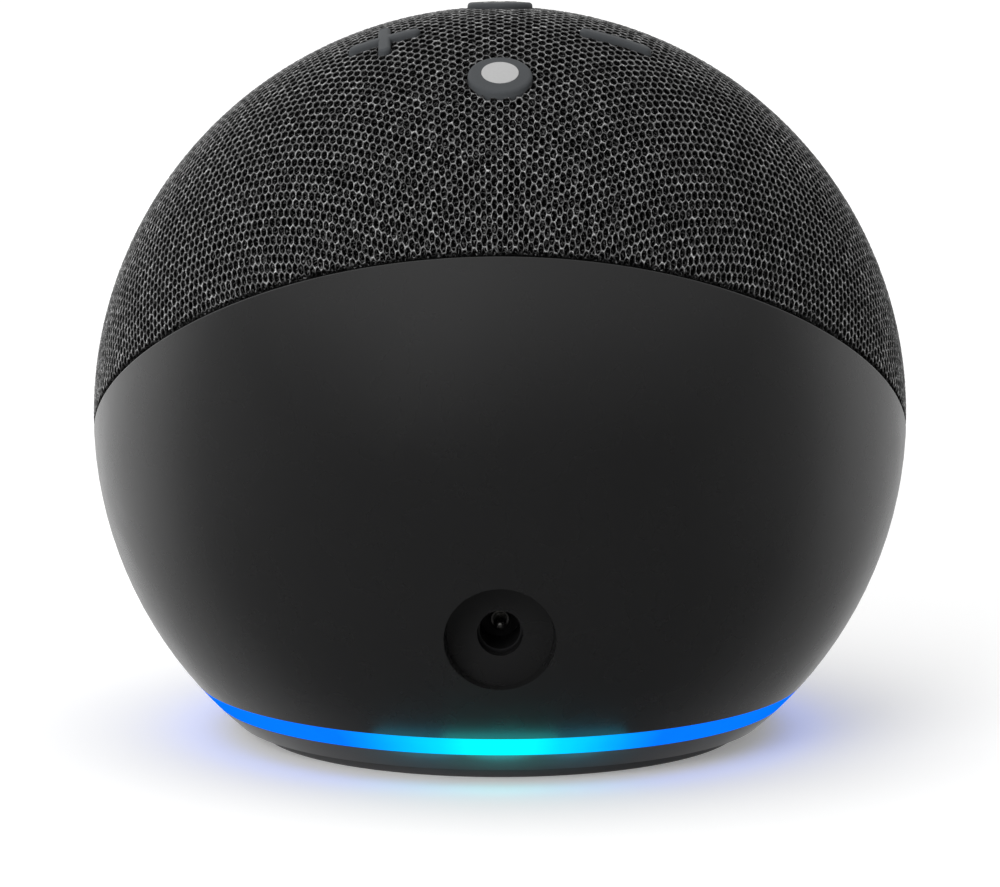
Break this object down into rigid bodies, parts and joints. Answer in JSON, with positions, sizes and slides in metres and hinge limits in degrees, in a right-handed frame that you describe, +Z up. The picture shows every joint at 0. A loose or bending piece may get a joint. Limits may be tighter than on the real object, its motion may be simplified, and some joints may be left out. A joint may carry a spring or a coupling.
{
  "type": "smart speaker",
  "caption": "Ball-shaped table speaker with a mesh fabric dome, smooth rear bowl, press buttons on top, a glowing ring above a flat foot and a round power socket.",
  "frame": {"origin": "centre of the foot's underside, on the table", "axes": "+Z up, +Y to the rear, out of the power socket, -Y to the listener, +X to the listener's right"},
  "size_m": [0.1, 0.1, 0.0899],
  "materials": {
    "fabric": "open honeycomb knit, charcoal",
    "shell_plastic": "fine matt grain, charcoal",
    "inner_plastic": "matt, moulded",
    "light_plastic": "milky, lit from inside",
    "white_plastic": "matt white, moulded",
    "button_rubber": "smooth matt silicone, grey",
    "icon_plastic": "matt light grey",
    "foot_rubber": "matt, moulded",
    "base_plastic": "matt, moulded",
    "label_plastic": "fine matt grain",
    "steel": "plain",
    "zinc_steel": "zinc plated",
    "nickel": "nickel plated",
    "circuit_board": "green solder mask",
    "chip_black": "moulded resin",
    "connector_plastic": "moulded nylon, natural",
    "cable_plastic": "flat cable sleeve",
    "lead_sleeve": "flexible sleeve",
    "aluminium": "cast, bare",
    "pad_rubber": "soft thermal pad",
    "surround_rubber": "soft, moulded",
    "cone_paper": "pressed pulp, dyed",
    "spider_fabric": "resin-dipped cotton",
    "coil_copper": "enamelled copper wire on a paper former",
    "magnet": "sintered, plated",
    "frame_steel": "black coat",
    "gasket_rubber": "closed-cell foam",
    "capacitor": "sleeved can",
    "led_white": "clear lens"
  },
  "bodies": {
    "housing": {"fabric_cover": "fabric", "upper_shell": "inner_plastic", "lower_shell": "shell_plastic", "light_ring": "light_plastic", "light_reflector": "white_plastic", "led_board": "circuit_board", "leds": "led_white", "base_cup": "base_plastic", "foot_ring": "foot_rubber", "base_cover_disc": "label_plastic", "base_screws": "zinc_steel", "button_board": "circuit_board", "microphones": "nickel", "microphone_boots": "surround_rubber", "driver_frame": "frame_steel", "driver_gasket": "gasket_rubber", "driver_surround": "surround_rubber", "driver_spider": "spider_fabric", "driver_yoke": "steel", "driver_magnet": "magnet", "driver_pole_piece": "steel", "driver_terminals": "connector_plastic", "speaker_leads": "lead_sleeve", "speaker_chamber": "inner_plastic", "lead_grommet": "surround_rubber", "speaker_screws": "zinc_steel", "board_screws": "zinc_steel", "main_board": "circuit_board", "main_board_chips": "chip_black", "capacitors": "capacitor", "board_connectors": "connector_plastic", "shield_can": "nickel", "thermal_pad": "pad_rubber", "heat_sink": "aluminium", "wifi_antennas": "circuit_board", "ribbon_cables": "cable_plastic", "power_board": "circuit_board", "power_board_components": "chip_black", "power_leads": "lead_sleeve", "socket_housing": "chip_black", "socket_pin": "nickel", "socket_collar": "nickel", "socket_contact": "nickel", "volume_up_switch_case": "nickel", "volume_down_switch_case": "nickel", "mic_mute_switch_case": "nickel", "action_switch_case": "nickel"},
    "volume_up": {"volume_up_button": "button_rubber", "volume_up_switch_plunger": "chip_black"},
    "volume_down": {"volume_down_button": "button_rubber", "volume_down_switch_plunger": "chip_black"},
    "mic_mute": {"mic_mute_button": "button_rubber", "mic_mute_icon": "icon_plastic", "mic_mute_switch_plunger": "chip_black"},
    "action": {"action_button": "button_rubber", "action_dot": "icon_plastic", "action_switch_plunger": "chip_black"},
    "cone": {"driver_cone": "cone_paper", "driver_dust_cap": "cone_paper", "voice_coil": "coil_copper"}
  },
  "joints": [
    {"name": "volume_up_press", "type": "slide", "parent": "housing", "child": "volume_up", "axis": [0, 0, -1], "range_m": [0, 0.00035], "stiffness_N_per_m": 4000, "springref_m": -0.0002},
    {"name": "volume_down_press", "type": "slide", "parent": "housing", "child": "volume_down", "axis": [0, 0, -1], "range_m": [0, 0.00035], "stiffness_N_per_m": 4000, "springref_m": -0.0002},
    {"name": "mic_mute_press", "type": "slide", "parent": "housing", "child": "mic_mute", "axis": [0, 0, -1], "range_m": [0, 0.00035], "stiffness_N_per_m": 4000, "springref_m": -0.0002},
    {"name": "action_press", "type": "slide", "parent": "housing", "child": "action", "axis": [0, 0, -1], "range_m": [0, 0.00035], "stiffness_N_per_m": 4000, "springref_m": -0.0002},
    {"name": "cone_stroke", "type": "slide", "parent": "housing", "child": "cone", "axis": [0, -1, 0], "range_m": [-0.002, 0.002], "stiffness_N_per_m": 1800, "deforming": ["driver_surround", "driver_spider"]}
  ]
}
